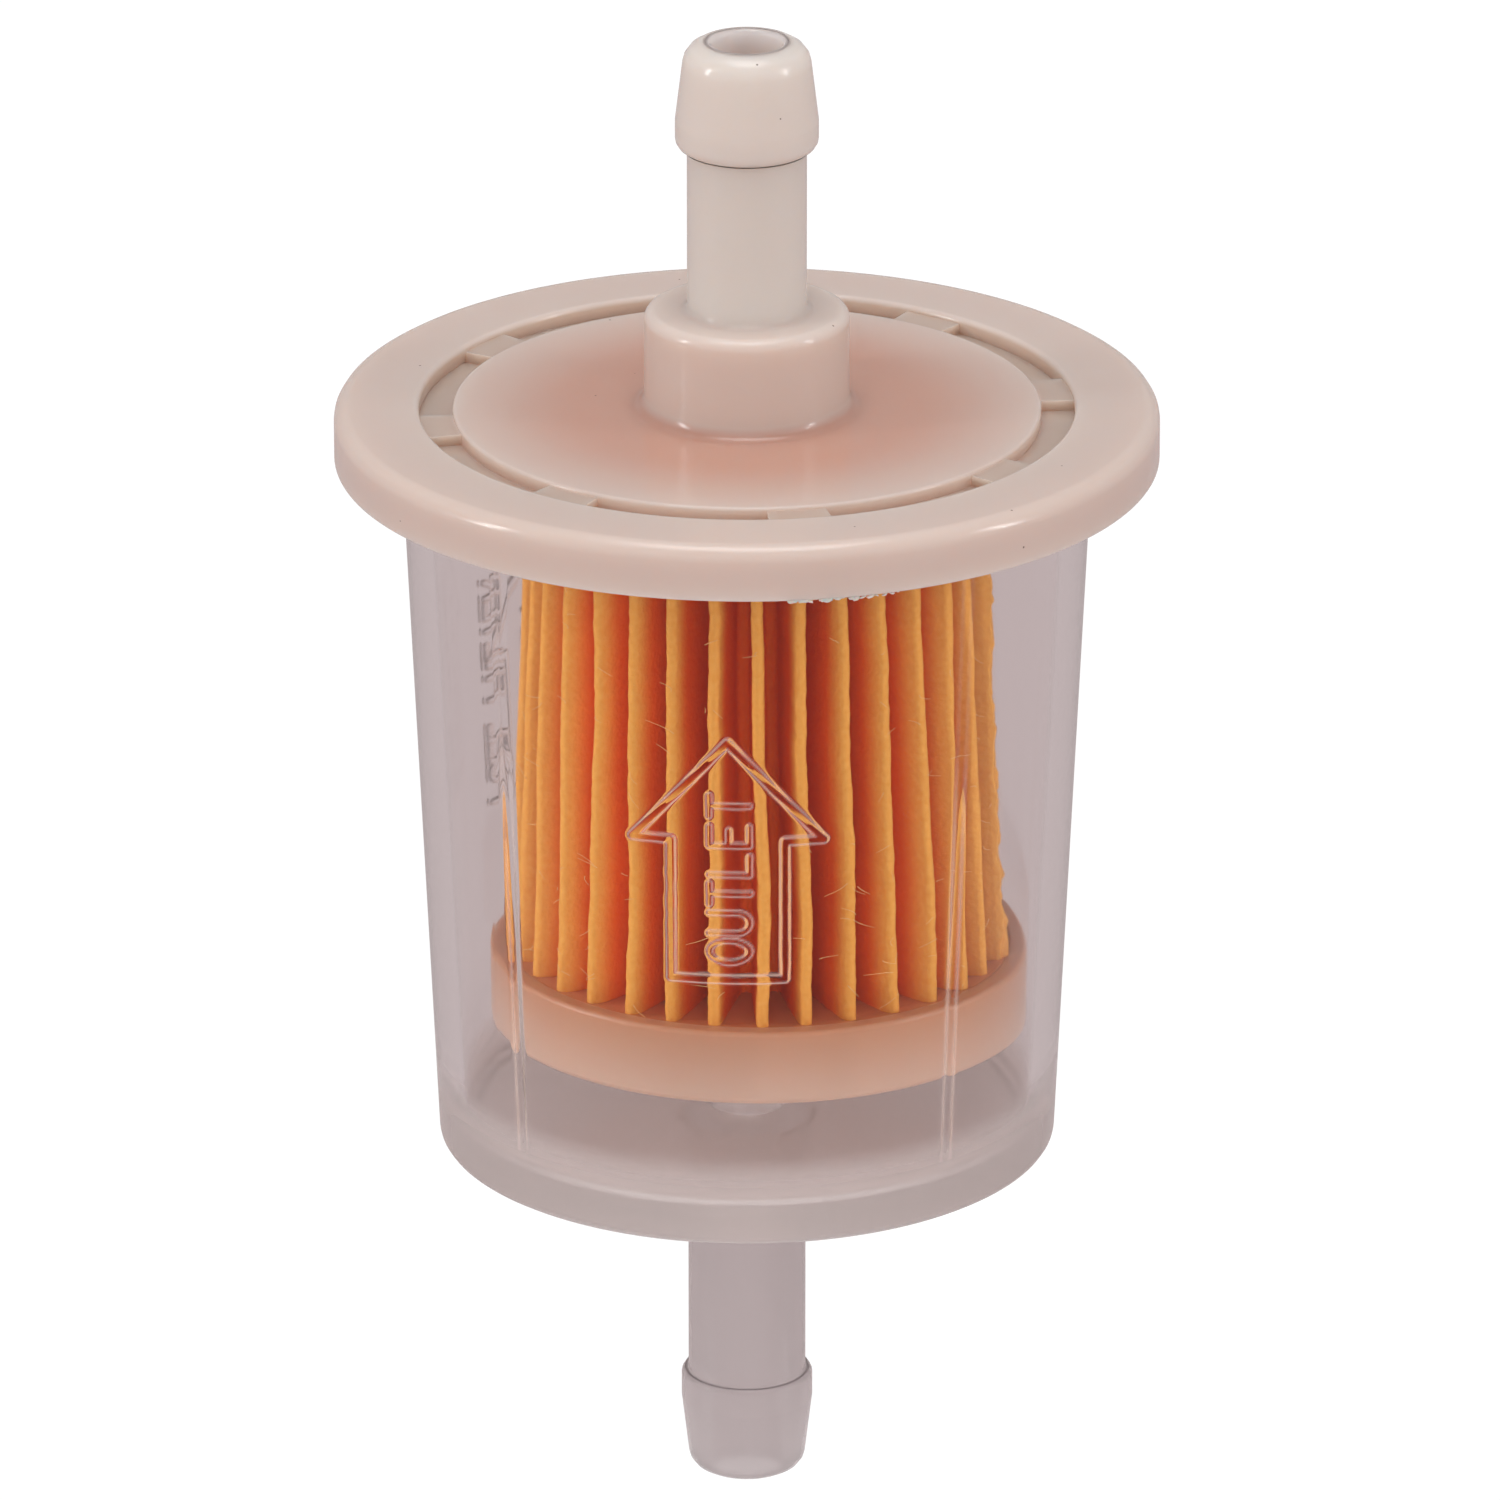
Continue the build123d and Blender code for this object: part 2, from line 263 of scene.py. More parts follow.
# %% Flash slivers
SLIVERS = 20
BIG_SLIVERS = 15
flash_start, flash_sweep = -80.5, 17.0
flash_inset = 0.16

chance = random.Random(11)
flash_mesh = bmesh.new()
for place in range(SLIVERS):
    along = (place / (SLIVERS + 1)) ** 1.1
    around = flash_start + flash_sweep * along + chance.uniform(-0.4, 0.4)
    size = chance.uniform(0.5, 1.0) * (1.0 if place < BIG_SLIVERS else 0.55)
    ball = bmesh.ops.create_icosphere(flash_mesh, subdivisions=2, radius=MM)["verts"]
    for vert in ball:
        vert.co *= 1 + 0.5 * noise.noise(vert.co / MM * 1.7 + Vector((place * 3.1, 0, 0)))
    squash = Matrix.Diagonal((0.1, 0.34 * size, chance.uniform(0.1, 0.22) * size))
    tip = Matrix.Rotation(chance.uniform(-0.5, 0.5), 3, "X")
    turn = Matrix.Rotation(math.radians(around), 3, "Z")
    bmesh.ops.transform(flash_mesh, verts=ball, matrix=(turn @ tip @ squash).to_4x4())
    height = flange_base_z + chance.uniform(-0.1, 0.12)
    spot = turn @ Vector((flange_radius - flash_inset, 0, height))
    bmesh.ops.translate(flash_mesh, verts=ball, vec=spot * MM)
flash = to_piece(flash_mesh, "flange_flash", sharp=180)

# %% [markdown]
# ## The bowl
#
# A clear tapered cup with a 1.5 mm wall, four guide ribs inside, the inlet spigot below
# and two flow arrows outside. The arrows and their lettering stand 0.13 mm proud, and
# only their shoulders, rough from the mould maker's cutter, catch the light. So they need
# real geometry: the spin has narrow columns and rows there, and each point of the outer
# wall near a stroke is pushed out. A Boolean would leave long uneven faces, which show up
# in anything as clear as this.

# %% Bowl outline
DRAFT = math.tan(math.radians(2.66))  # the taper that lets it leave its mould
WALL = 1.5
bowl_base_radius = 17.23
bowl_base_z, bowl_floor_z = 20.7, 22.5
mark_low_z, mark_high_z = 36.4, 51.7
mark_row = 0.1
mark_height = 0.13


def outer_wall(z):
    """Radius of the bowl's outside at height z."""
    return bowl_base_radius + (z - bowl_base_z) * DRAFT


def wall_points(low, high, rows):
    """Points up the outer wall, spaced evenly."""
    return [(outer_wall(z), z, 0) for z in np.linspace(low, high, rows + 1)]


rib_top_z = 48.5
mark_rows = round((mark_high_z - mark_low_z) / mark_row)
inner_rows = (60, 55, rib_top_z, 47.5, 46, 44, 42, 40, 32, 25, 23.8)
bowl_corners = [
    (bore_radius, inlet_tip_z, 0.25),
    (3.18, inlet_tip_z, 1.0),
    (3.69, 4.3, 1.2),
    (3.69, 5.95, 0.35),
    (stem_radius, 5.95, 0.1),
    (stem_radius, bowl_base_z, 0.8),
    (outer_wall(bowl_base_z), bowl_base_z, 0.5),
    *wall_points(24, mark_low_z, 5)[:-1],
    *wall_points(mark_low_z, mark_high_z, mark_rows),
    *wall_points(mark_high_z, flange_base_z, 4)[1:],
    (outer_wall(lip_z), lip_z, 0.15),
    (outer_wall(lip_z) - WALL, lip_z, 0.15),
    *[(outer_wall(z) - WALL, z, 0) for z in inner_rows],
    (outer_wall(bowl_floor_z) - WALL, bowl_floor_z, 1.0),
    (bore_radius, bowl_floor_z, 0.25),
]
bowl_outline = rounded(bowl_corners)
print("bowl outline points:", len(bowl_outline))

# %% [markdown]
# The bowl's columns are narrow only where something is raised: across the two marks on
# the outside, and across the four guide ribs on the inside. Narrow columns all the way
# round would work too, but would make the mesh several times as heavy.

# %% Bowl spin
front_mark, back_mark = -90.0, 137.5
rib_angles = (-45.0, 45.0, 135.0, 225.0)
rib_half = 2.4
NARROW, NARROW_BACK, BROAD = 0.3, 0.33, 2.5  # degrees; the back mark covers the third rib
bowl_sectors = [
    (-108, -72, NARROW),
    (-72, -45 - rib_half, BROAD),
    (-45 - rib_half, -45 + rib_half, NARROW),
    (-45 + rib_half, 45 - rib_half, BROAD),
    (45 - rib_half, 45 + rib_half, NARROW),
    (45 + rib_half, 119, BROAD),
    (119, 157, NARROW_BACK),
    (157, 225 - rib_half, BROAD),
    (225 - rib_half, 225 + rib_half, NARROW),
    (225 + rib_half, 252, BROAD),
]
bowl_mesh = spin_outline(
    bowl_outline,
    [(end - start, math.ceil((end - start) / width)) for start, end, width in bowl_sectors],
    first_angle=bowl_sectors[0][0],
)
print("bowl faces:", len(bowl_mesh.faces))

# %% [markdown]
# Each guide rib is a low bead down the inside of the wall, which keeps the element clear
# of it. It fades out towards the top, and only a faint line is left there. It is raised
# by moving points of the wall rather than added as a bar, so that it runs into the wall
# without a seam. An attribute called frost says how rough each point is, and the
# material reads it later.

# %% Guide ribs
frost_layer = bowl_mesh.verts.layers.float.new("frost")


def polar(point):
    """(angle in degrees, radius in mm, height in mm) of a point."""
    angle = math.degrees(math.atan2(point.y, point.x))
    return angle, math.hypot(point.x, point.y) / MM, point.z / MM


def turn_between(angle, other):
    """The turn from one angle to another, within half a turn either way."""
    return (angle - other + 180) % 360 - 180


def shift_out(vert, distance):
    """Move a point away from the axis by a distance in millimetres."""
    factor = 1 + distance * MM / math.hypot(vert.co.x, vert.co.y)
    vert.co.x *= factor
    vert.co.y *= factor


def bead(distance, width, shoulder):
    """How far up a raised line is at each distance: 1 on its flat top, 0 outside."""
    rise = np.clip((width / 2 + shoulder / 2 - distance) / shoulder, 0, 1)
    return rise * rise * (3 - 2 * rise)


def shoulder_frost(distance, width, reach):
    """How rough the surface is at each distance: 1 on the shoulder of a raised line."""
    return np.clip(1 - np.abs(distance - width / 2) / reach, 0, 1)


rib_depth = 0.06
rib_width = 0.62
rib_shoulder = 0.6
rib_fade_length = 8.0
SAME_WALL = 0.02  # mm off the wall that still counts as on it
raised = 0
for vert in bowl_mesh.verts:
    angle, radius, height = polar(vert.co)
    off_rib = min(abs(turn_between(angle, rib)) for rib in rib_angles)
    off_wall = abs(radius - outer_wall(height) + WALL)
    if off_wall < SAME_WALL and bowl_floor_z < height < lip_z - 1 and off_rib < rib_half:
        across = math.radians(off_rib) * radius
        fade = min(1, max(0, (rib_top_z - height) / rib_fade_length)) ** 0.7
        shift_out(vert, -rib_depth * fade * bead(across, rib_width, rib_shoulder))
        vert[frost_layer] = (0.12 + 0.5 * fade) * shoulder_frost(across, rib_width, 0.2)
        raised += 1
print("points on the ribs:", raised)

# %% [markdown]
# The lettering is drawn as single strokes, the way a mould maker's cutter runs: each
# letter is a few points on a cell one unit high. A Text object could be turned into a
# mesh, but these strokes are what the points of the wall are measured against. The words
# are plain ones. They read upwards, so a letter's own "up" is to the left.

# %% Strokes of the flow marks
def arc_stroke(centre, radii, start, end, steps=10):
    """Points along part of an ellipse, angles in degrees."""
    angles = np.radians(np.linspace(start, end, steps + 1))
    (x, z), (wide, tall) = centre, radii
    return [(x + wide * math.cos(a), z + tall * math.sin(a)) for a in angles]


LETTERS = {
    "O": [arc_stroke((0.3, 0.5), (0.3, 0.5), 0, 360, 20)],
    "U": [[(0, 1), (0, 0.3)] + arc_stroke((0.28, 0.3), (0.28, 0.3), 180, 360) + [(0.56, 1)]],
    "T": [[(0, 1), (0.56, 1)], [(0.28, 1), (0.28, 0)]],
    "L": [[(0, 1), (0, 0), (0.5, 0)]],
    "E": [[(0.52, 1), (0, 1), (0, 0), (0.52, 0)], [(0, 0.52), (0.42, 0.52)]],
    "F": [[(0.5, 1), (0, 1), (0, 0)], [(0, 0.52), (0.4, 0.52)]],
    "I": [[(0.05, 1), (0.05, 0)]],
    "R": [
        [(0, 0), (0, 1), (0.3, 1)] + arc_stroke((0.3, 0.75), (0.25, 0.25), 90, -90) + [(0, 0.5)],
        [(0.28, 0.5), (0.56, 0)],
    ],
    " ": [],
}


def upright_word(word, height, low, high, across):
    """Strokes of a word that reads upwards between two heights, centred on across."""
    pitch = (high - low) / len(word)
    strokes = []
    for place, letter in enumerate(word):
        start = low + pitch * (place + 0.15)
        for stroke in LETTERS[letter]:
            strokes.append([(across + height * (0.5 - y), start + height * x) for x, y in stroke])
    return strokes


arrow_outline = [
    (-3.13, 36.95), (-3.13, 45.2), (-5.3, 45.2), (0, 51.1),
    (5.3, 45.2), (3.13, 45.2), (3.13, 36.95), (-3.13, 36.95),
]
arrow_strokes = [arrow_outline]
word_strokes = upright_word("OUTLET", 2.2, 37.7, 48.2, 0.1)
side_strokes = upright_word("FUEL FILTER", 1.7, 36.9, 50.2, 4.6)
print("strokes:", len(arrow_strokes + word_strokes + side_strokes))

# %% [markdown]
# Every point of the outer wall near a mark is pushed out by how close it lies to the
# nearest stroke, with a smooth shoulder each side, as a hand-cut mould gives. The arrow
# and the words are measured apart, because the arrow's line is wider and higher. A
# little noise keeps the lines from looking ruled.

# %% Raise the flow marks
FAR = 99.0
arrow_line, arrow_shoulder = 0.5, 0.16
word_line, word_shoulder, word_share = 0.32, 0.14, 0.7
mark_frost_reach = 0.1
mark_half_turn = 21


def stroke_distance(across, height, strokes):
    """Each point's distance from the nearest stroke, in millimetres."""
    nearest = np.full(len(across), FAR)
    for stroke in strokes:
        for (x0, y0), (x1, y1) in zip(stroke, stroke[1:]):
            dx, dy = x1 - x0, y1 - y0
            along = ((across - x0) * dx + (height - y0) * dy) / max(dx * dx + dy * dy, 1e-9)
            along = np.clip(along, 0, 1)
            gap = np.hypot(across - x0 - along * dx, height - y0 - along * dy)
            nearest = np.minimum(nearest, gap)
    return nearest


def raise_mark(bm, mark_angle, words):
    """Push the outer wall out along the arrow and the words at one place round the bowl."""
    verts, across, height = [], [], []
    for vert in bm.verts:
        angle, radius, z = polar(vert.co)
        turn = turn_between(angle, mark_angle)
        on_wall = abs(radius - outer_wall(z)) < SAME_WALL and mark_low_z < z < mark_high_z
        if on_wall and abs(turn) < mark_half_turn:
            verts.append(vert)
            across.append(math.radians(turn) * radius)
            height.append(z)
    across, height = np.array(across), np.array(height)
    spots = [Vector((x * 1.1, z * 1.1, mark_angle)) for x, z in zip(across, height)]
    wobble = [0.04 * noise.noise(spot) for spot in spots]
    from_arrow = stroke_distance(across, height, arrow_strokes) + wobble
    from_words = stroke_distance(across, height, words) + wobble
    lift = np.maximum(
        bead(from_arrow, arrow_line, arrow_shoulder),
        word_share * bead(from_words, word_line, word_shoulder),
    )
    frost = np.maximum(
        shoulder_frost(from_arrow, arrow_line, mark_frost_reach),
        0.8 * shoulder_frost(from_words, word_line, mark_frost_reach),
    )
    for vert, up, rough in zip(verts, lift, frost):
        shift_out(vert, mark_height * up)
        vert[frost_layer] = rough
    print(f"mark at {mark_angle:.0f} degrees: {int((lift > 0.05).sum())} points raised")


raise_mark(bowl_mesh, front_mark, word_strokes)
raise_mark(bowl_mesh, back_mark, word_strokes + side_strokes)
bmesh.ops.recalc_face_normals(bowl_mesh, faces=bowl_mesh.faces)
bowl = to_piece(bowl_mesh, "bowl_moulding", replaces=["bowl"], sharp=180)

# %% [markdown]
# ## The pleated paper
#
# The real element is one flat strip of resin-soaked paper, folded back and forth and
# closed into a ring, with its two ends glued side by side. It is made the same way: a
# flat grid is folded, point by point, into 34 pleats. Cloth simulation could fold it, but
# resin-soaked paper is stiff and keeps the creases it was pressed with. No two real pleats
# are alike, so each ridge has its own place and height and wanders a little on its way up.

# %% Fold the paper
PLEATS = 34
PER_PLEAT = 16
ROWS = 80
paper_thickness = 0.3
tip_low, tip_high = 13.8, 12.66
root_low = 7.8
seam_angle = -12.0
ridge_round, valley_round = 0.17, 0.45
lean_low, lean_high = Vector((0.7, 0, 0)), Vector((0.4, 0, 0))


def wander(*where):
    """A smooth random value from -1 to 1 at a place."""
    return noise.noise(Vector(where)) * 1.6


def paper_rise(z):
    """How far up the paper a height is, from 0 to 1."""
    return (z - paper_base_z) / (paper_top_z - paper_base_z)


def ridge_place(pleat, z):
    """(angle, radius) of one ridge at height z, with its own wander."""
    rise = paper_rise(z)
    radius = tip_low + rise * (tip_high - tip_low)
    key = pleat % PLEATS
    loose = math.sin(math.pi * min(1, max(0, rise))) ** 0.5
    swing = 0.12 * wander(key * 3.7, 5.1, 0.3) + 0.18 * loose * wander(key * 3.7, z * 0.09, 8.2)
    ripple = 0.05 * wander(key * 9.1, z * 0.6, 2.7) + 0.035 * wander(key * 5.3, z * 2.1, 4.4)
    depth = 0.12 * wander(key * 6.3, 1.2, 9.9) + 0.08 * wander(key * 2.9, z * 0.12, 3.1)
    angle = math.radians(seam_angle) + math.tau * pleat / PLEATS + (swing + ripple) / radius
    return angle, radius + depth


def valley_place(pleat, z):
    """(angle, radius) of the valley after a ridge."""
    before, _ = ridge_place(pleat, z)
    after, _ = ridge_place(pleat + 1, z)
    if after < before:
        after += math.tau
    root = root_low * (tip_low + paper_rise(z) * (tip_high - tip_low)) / tip_low
    return (before + after) / 2, root + 0.15 * wander(pleat * 4.9, z * 0.1, 6.6)


def on_ring(along, across, angle):
    """A point at (along, across) on axes turned by an angle, as an x, y pair."""
    x = along * math.cos(angle) - across * math.sin(angle)
    y = along * math.sin(angle) + across * math.cos(angle)
    return Vector((x, y))


# how near each of a pleat's 16 points is to a ridge: two ridges with the valley between
NEARNESS = [1, 1, 0.96, 0.8, 0.52, 0.3, 0.12, 0, 0, 0, 0.12, 0.3, 0.52, 0.8, 0.96, 1]
RIDGE_BENDS = (0.0, 0.8, 1.5)
VALLEY_BENDS = (-1.4, 0.0, 1.4)
FLANK_STEPS = (0.12, 0.35, 0.6, 0.85)


def pleat_points(pleat, z):
    """One pleat's fold at one height, as 16 points from ridge to ridge."""
    ridge_angle, ridge_radius = ridge_place(pleat, z)
    next_angle, next_radius = ridge_place(pleat + 1, z)
    valley_angle, valley_radius = valley_place(pleat, z)
    crest = ridge_radius - ridge_round - paper_thickness / 2
    next_crest = next_radius - ridge_round - paper_thickness / 2
    trough = valley_radius + valley_round + paper_thickness / 2
    bends = [(ridge_round * math.cos(a), ridge_round * math.sin(a)) for a in RIDGE_BENDS]
    dips = [(-valley_round * math.cos(a), valley_round * math.sin(a)) for a in VALLEY_BENDS]
    leave = [on_ring(crest + x, y, ridge_angle) for x, y in bends]
    turn = [on_ring(trough + x, y, valley_angle) for x, y in dips]
    arrive = [on_ring(next_crest + x, -y, next_angle) for x, y in bends[:0:-1]]
    bow = 0.1 * wander(pleat * 2.3, z * 0.15, 7.7)
    down, up = [], []
    for step in FLANK_STEPS:
        push = on_ring(0, bow * math.sin(math.pi * step), valley_angle)
        down.append(leave[-1].lerp(turn[0], step) + push)
        up.append(turn[-1].lerp(arrive[0], step) + push)
    return leave + down + turn + up + arrive


print(f"pleats: {PLEATS}, from {root_low} to {tip_low} mm out at the bottom")

# %% [markdown]
# Every point of the grid is moved to its place in the fold. The two edges of the strip
# meet at one ridge, side by side, where the glue holds them, and their cut is a little
# frayed. The whole element leans, so each row is shifted sideways as well. An attribute
# called fold says how near to a ridge each point is, for the paper's colour.

# %% Shape the grid
strip_gap = 0.21
paper_mesh = bmesh.new()
bmesh.ops.create_grid(paper_mesh, x_segments=PLEATS * PER_PLEAT, y_segments=ROWS, size=0.5)
fold_layer = paper_mesh.verts.layers.float.new("fold")
columns = PLEATS * PER_PLEAT
paper_levels = np.linspace(paper_base_z, paper_top_z, ROWS + 1)
folded = [[pleat_points(pleat, z) for pleat in range(PLEATS)] for z in paper_levels]
for vert in paper_mesh.verts:
    column = round((vert.co.x + 0.5) * columns)
    row = round((vert.co.y + 0.5) * ROWS)
    z = paper_levels[row]
    pleat, place = divmod(min(column, columns - 1), PER_PLEAT)
    spot = folded[row][pleat][place]
    if column in (0, columns):
        angle, radius = ridge_place(0, z)
        coarse_fray = 0.3 * max(0, wander(column * 0.1, z * 0.4, 5.5))
        fine_fray = 0.14 * wander(column, z * 2.3, 1.5)
        side = strip_gap if column == 0 else -strip_gap
        spot = on_ring(radius + (0.2 + coarse_fray + fine_fray), side, angle)
    lean = lean_low.lerp(lean_high, row / ROWS)
    vert.co = Vector((spot.x + lean.x, spot.y + lean.y, z)) * MM
    vert[fold_layer] = NEARNESS[place]
bmesh.ops.recalc_face_normals(paper_mesh, faces=paper_mesh.faces)
print("paper faces before thickness:", len(paper_mesh.faces))

# %% [markdown]
# A Solidify modifier gives the sheet its 0.3 mm, half to each side, and closes its edges.
# The folds are left smooth-shaded, since a crease in damp-pressed paper is never sharp.

# %% Give the paper its thickness
paper = to_piece(
    paper_mesh, "pleated_paper", replaces=["pleated_media"], sharp=180
)
thickness = paper.modifiers.new("paper thickness", "SOLIDIFY")
thickness.thickness = paper_thickness * MM
thickness.offset = 0

# %% [markdown]
# Loose fibres stand off the folds. Each is a short curve with a hair's thickness, which
# starts on a ridge and drifts outwards and along it. Hair particles would grow all over,
# and these are few and in the open. A curve's box counts each point's radius, so the
# thickness is in the radius, and the bevel only passes it on.

# %% Loose fibres
chance = random.Random(5)
hair_data = bpy.data.curves.new("loose_fibres", "CURVE")
hair_data.dimensions = "3D"
hair_data.bevel_depth = 1.0  # times each point's radius
hair_data.bevel_resolution = 0
HAIRS = 280
HAIR_POINTS = 6
hair_thick, hair_thinning = 0.024, 0.012
for _ in range(HAIRS):
    z = chance.uniform(paper_base_z + 1, paper_top_z - 1)
    angle, radius = ridge_place(chance.randrange(PLEATS), z)
    angle += chance.gauss(0, 0.02)
    rise = chance.uniform(-0.7, 0.7)
    drift = chance.uniform(-0.06, 0.06)
    curl = chance.uniform(-0.09, 0.09)
    off = chance.uniform(0.05, 0.35)
    lean = lean_low.lerp(lean_high, paper_rise(z))
    hair = hair_data.splines.new("NURBS")
    hair.points.add(HAIR_POINTS - 1)
    for step, point in enumerate(hair.points):
        along = step / (HAIR_POINTS - 1)
        out = radius - 0.05 + off * along ** 1.5
        turn = angle + drift * along + curl * along ** 2
        spot = Vector((out * math.cos(turn), out * math.sin(turn), z + rise * along)) + lean
        point.co = (*(spot * MM), 1.0)
        point.radius = (hair_thick - hair_thinning * along) * MM
    hair.use_endpoint_u = True
    hair.order_u = 4
hairs = bpy.data.objects.new("loose_fibres", hair_data)
bpy.context.scene.collection.objects.link(hairs)
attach(hairs, "root")
print("loose fibres:", len(hair_data.splines))

# %% [markdown]
# ## The cup under the paper
#
# A plain milky cup closes the paper's lower end. It hangs slightly off centre, as glued
# elements do, so its outline is spun on the axis and then moved by the paper's lean. The
# outline is open, from the axis out and back, so the spin closes it at both poles.

# %% Cup
cup_wall, cup_bottom = 1.0, 1.2
cup_corners = [
    (0, cup_base_z, 0),
    (cup_radius, cup_base_z, 0.4),
    (cup_radius, cup_rim_z, 0.25),
    (cup_radius - cup_wall, cup_rim_z, 0.15),
    (cup_radius - cup_wall, cup_base_z + cup_bottom, 0.2),
    (0, cup_base_z + cup_bottom, 0),
]
cup_mesh = spin_outline(rounded(cup_corners, closed=False), [(360, 160)], closed=False)
bmesh.ops.translate(cup_mesh, verts=cup_mesh.verts, vec=lean_low * MM)
cup = to_piece(cup_mesh, "element_cup", replaces=["element_end_cap"])

# %% [markdown]
# ## Resin
#
# Liquid resin was poured into the cup and round the paper's top edge, and it crept up
# the wall before it set. Each pool is spun with a raised edge, the creep line. A fluid
# simulation would find the same shape, but would take far longer than the spin.

# %% Resin pools
hub_radius = 6.3


def resin_pool(name, outline, lean, node):
    """A spun pool of resin; its outline is closed unless it starts on the axis."""
    ring = outline[0][0] > 0
    mesh = spin_outline(rounded(outline, closed=ring), [(360, 136)], closed=ring)
    bmesh.ops.translate(mesh, verts=mesh.verts, vec=lean * MM)
    return to_piece(mesh, name, replaces=[node])


potting = resin_pool(
    "cup_potting",
    [
        (0, potting_base_z, 0),
        (potting_radius, potting_base_z, 0),
        (potting_radius, cup_rim_z - 0.12, 0.1),
        (potting_radius - 1.2, cup_rim_z - 0.3, 0.6),
        (0, cup_rim_z - 0.4, 0),
    ],
    lean_low,
    "lower_bond_disc",
)
top_bond = resin_pool(
    "top_bond",
    [
        (hub_radius, bond_base_z + 0.3, 0.15),
        (bond_radius, bond_base_z, 0.2),
        (bond_radius, disc_under_z, 0),
        (hub_radius, disc_under_z, 0),
    ],
    CENTRE,
    "upper_bond_ring",
)

# %% [markdown]
# ## Materials
#
# Colours are sRGB hex values, turned to linear by one function. Patterns use Object
# coordinates, which are in metres here, so a scale in features per metre is 1000 over
# the feature's size in millimetres. `add` makes any node, with its settings and links.

# %% Material helpers
def linear(code, alpha=1.0):
    """Linear RGBA of an sRGB hex code."""
    values = [int(code[i:i + 2], 16) / 255 for i in (1, 3, 5)]
    return [v / 12.92 if v <= 0.04045 else ((v + 0.055) / 1.055) ** 2.4 for v in values] + [alpha]


def add(tree, kind, sockets=None, **settings):
    """Add a node with its settings, and set or link its input sockets."""
    node = tree.nodes.new(kind)
    for name, value in settings.items():
        setattr(node, name, value)
    for name, value in (sockets or {}).items():
        if isinstance(value, bpy.types.NodeSocket):
            tree.links.new(value, node.inputs[name])
        else:
            node.inputs[name].default_value = value
    return node


def new_material(name):
    """An empty node material, its tree and its output node."""
    material = bpy.data.materials.new(name)
    material.use_nodes = True
    tree = material.node_tree
    tree.nodes.clear()
    return material, tree, add(tree, "ShaderNodeOutputMaterial")


def dress(piece, material):
    """Give a piece, new or packed, its one material."""
    if piece.material_slots:
        piece.material_slots[0].material = material
    else:
        piece.data.materials.append(material)
    print(f"{piece.name}: {material.name}")


def per_mm(size):
    """A texture scale for features of a size in millimetres."""
    return 1000 / size


# %% [markdown]
# ## Milky nylon
#
# Natural nylon has no pigment. It scatters light inside, so it looks like candle wax: soft
# shadows, a glow where it is thin, and a satin gloss from a polished mould. It is made
# with subsurface scattering of a few millimetres. The rest is colour by place, since the
# scatter alone is too even: clouds 14 mm across, painted shade darkening the sunken moat,
# a painted warm glow on the thin disc over the orange paper, a paler spigot, painted
# light in the bore's mouth, and a few dust specks in the gloss. Each coloured part is
# bounded by lengths, in millimetres, over which its colour fades in: distances from the
# axis, or heights.

# %% Milky nylon of the cap
def milky_nylon():
    material, tree, output = new_material("natural nylon, moulded")
    place = add(tree, "ShaderNodeTexCoord").outputs["Object"]
    parts = add(tree, "ShaderNodeSeparateXYZ", {0: place})
    height = parts.outputs[2]
    flat = add(tree, "ShaderNodeCombineXYZ", {0: parts.outputs[0], 1: parts.outputs[1]})
    radius = add(
        tree, "ShaderNodeVectorMath", {0: flat.outputs[0]}, operation="LENGTH"
    ).outputs["Value"]
    cloud = add(tree, "ShaderNodeTexNoise", {"Vector": place, "Scale": per_mm(14), "Detail": 2.0})
    colour = add(
        tree, "ShaderNodeMix",
        {0: cloud.outputs["Fac"], 6: linear("#d7c5bb"), 7: linear("#dccbc2")},
        data_type="RGBA",
    ).outputs[2]
    # painted shade: the sunken moat, its lugs and the underside at the same radii are coloured
    # darker
    moat = ((radius, 16.1, 16.5), (radius, 18.3, 18.0), (height, 63.95, 63.7))
    # painted glow: over the paper, the disc and the underside are coloured warm orange, as if lit
    # through from the paper
    over_paper_painted_glow = ((radius, 17.8, 9.0), (height, 64.6, 63.95))
    spigot = ((height, 69.0, 70.0),)
    # painted light: the bore's mouth is coloured pale so that the hole does not look dark
    bore_mouth_painted_light = ((radius, 2.5, 2.2), (height, 76.0, 79.0))
    coloured = (
        (moat, "#cbb6a8"), (over_paper_painted_glow, "#d1a391"), (spigot, "#e5dad2"), (bore_mouth_painted_light, "#ece2df"),
    )
    for fades, code in coloured:
        inside = 1.0
        for length, start, end in fades:
            fade = add(
                tree, "ShaderNodeMapRange",
                {0: length, 1: start * MM, 2: end * MM, 3: 0.0, 4: 1.0},
                interpolation_type="SMOOTHSTEP",
            ).outputs[0]
            inside = add(
                tree, "ShaderNodeMath", {0: inside, 1: fade}, operation="MULTIPLY"
            ).outputs[0]
        colour = add(
            tree, "ShaderNodeMix", {0: inside, 6: colour, 7: linear(code)}, data_type="RGBA"
        ).outputs[2]
    dust = add(tree, "ShaderNodeTexVoronoi", {"Vector": place, "Scale": per_mm(2.5)})
    speck = add(
        tree, "ShaderNodeMapRange",
        {0: dust.outputs["Distance"], 1: 0.03, 2: 0.02, 3: 0.0, 4: 0.75},
    )
    colour = add(
        tree, "ShaderNodeMix",
        {0: speck.outputs[0], 6: colour, 7: linear("#5e4a40")},
        data_type="RGBA",
    ).outputs[2]
    surface = add(
        tree, "ShaderNodeBsdfPrincipled",
        {
            "Base Color": colour,
            "Roughness": 0.18,
            "IOR": 1.5,
            "Specular IOR Level": 0.5,
            "Subsurface Weight": 1.0,
            "Subsurface Radius": (1.0, 0.85, 0.75),
            "Subsurface Scale": 3.0 * MM,
        },
    )
    tree.links.new(surface.outputs[0], output.inputs["Surface"])
    return material


cap_nylon = milky_nylon()
dress(cap, cap_nylon)


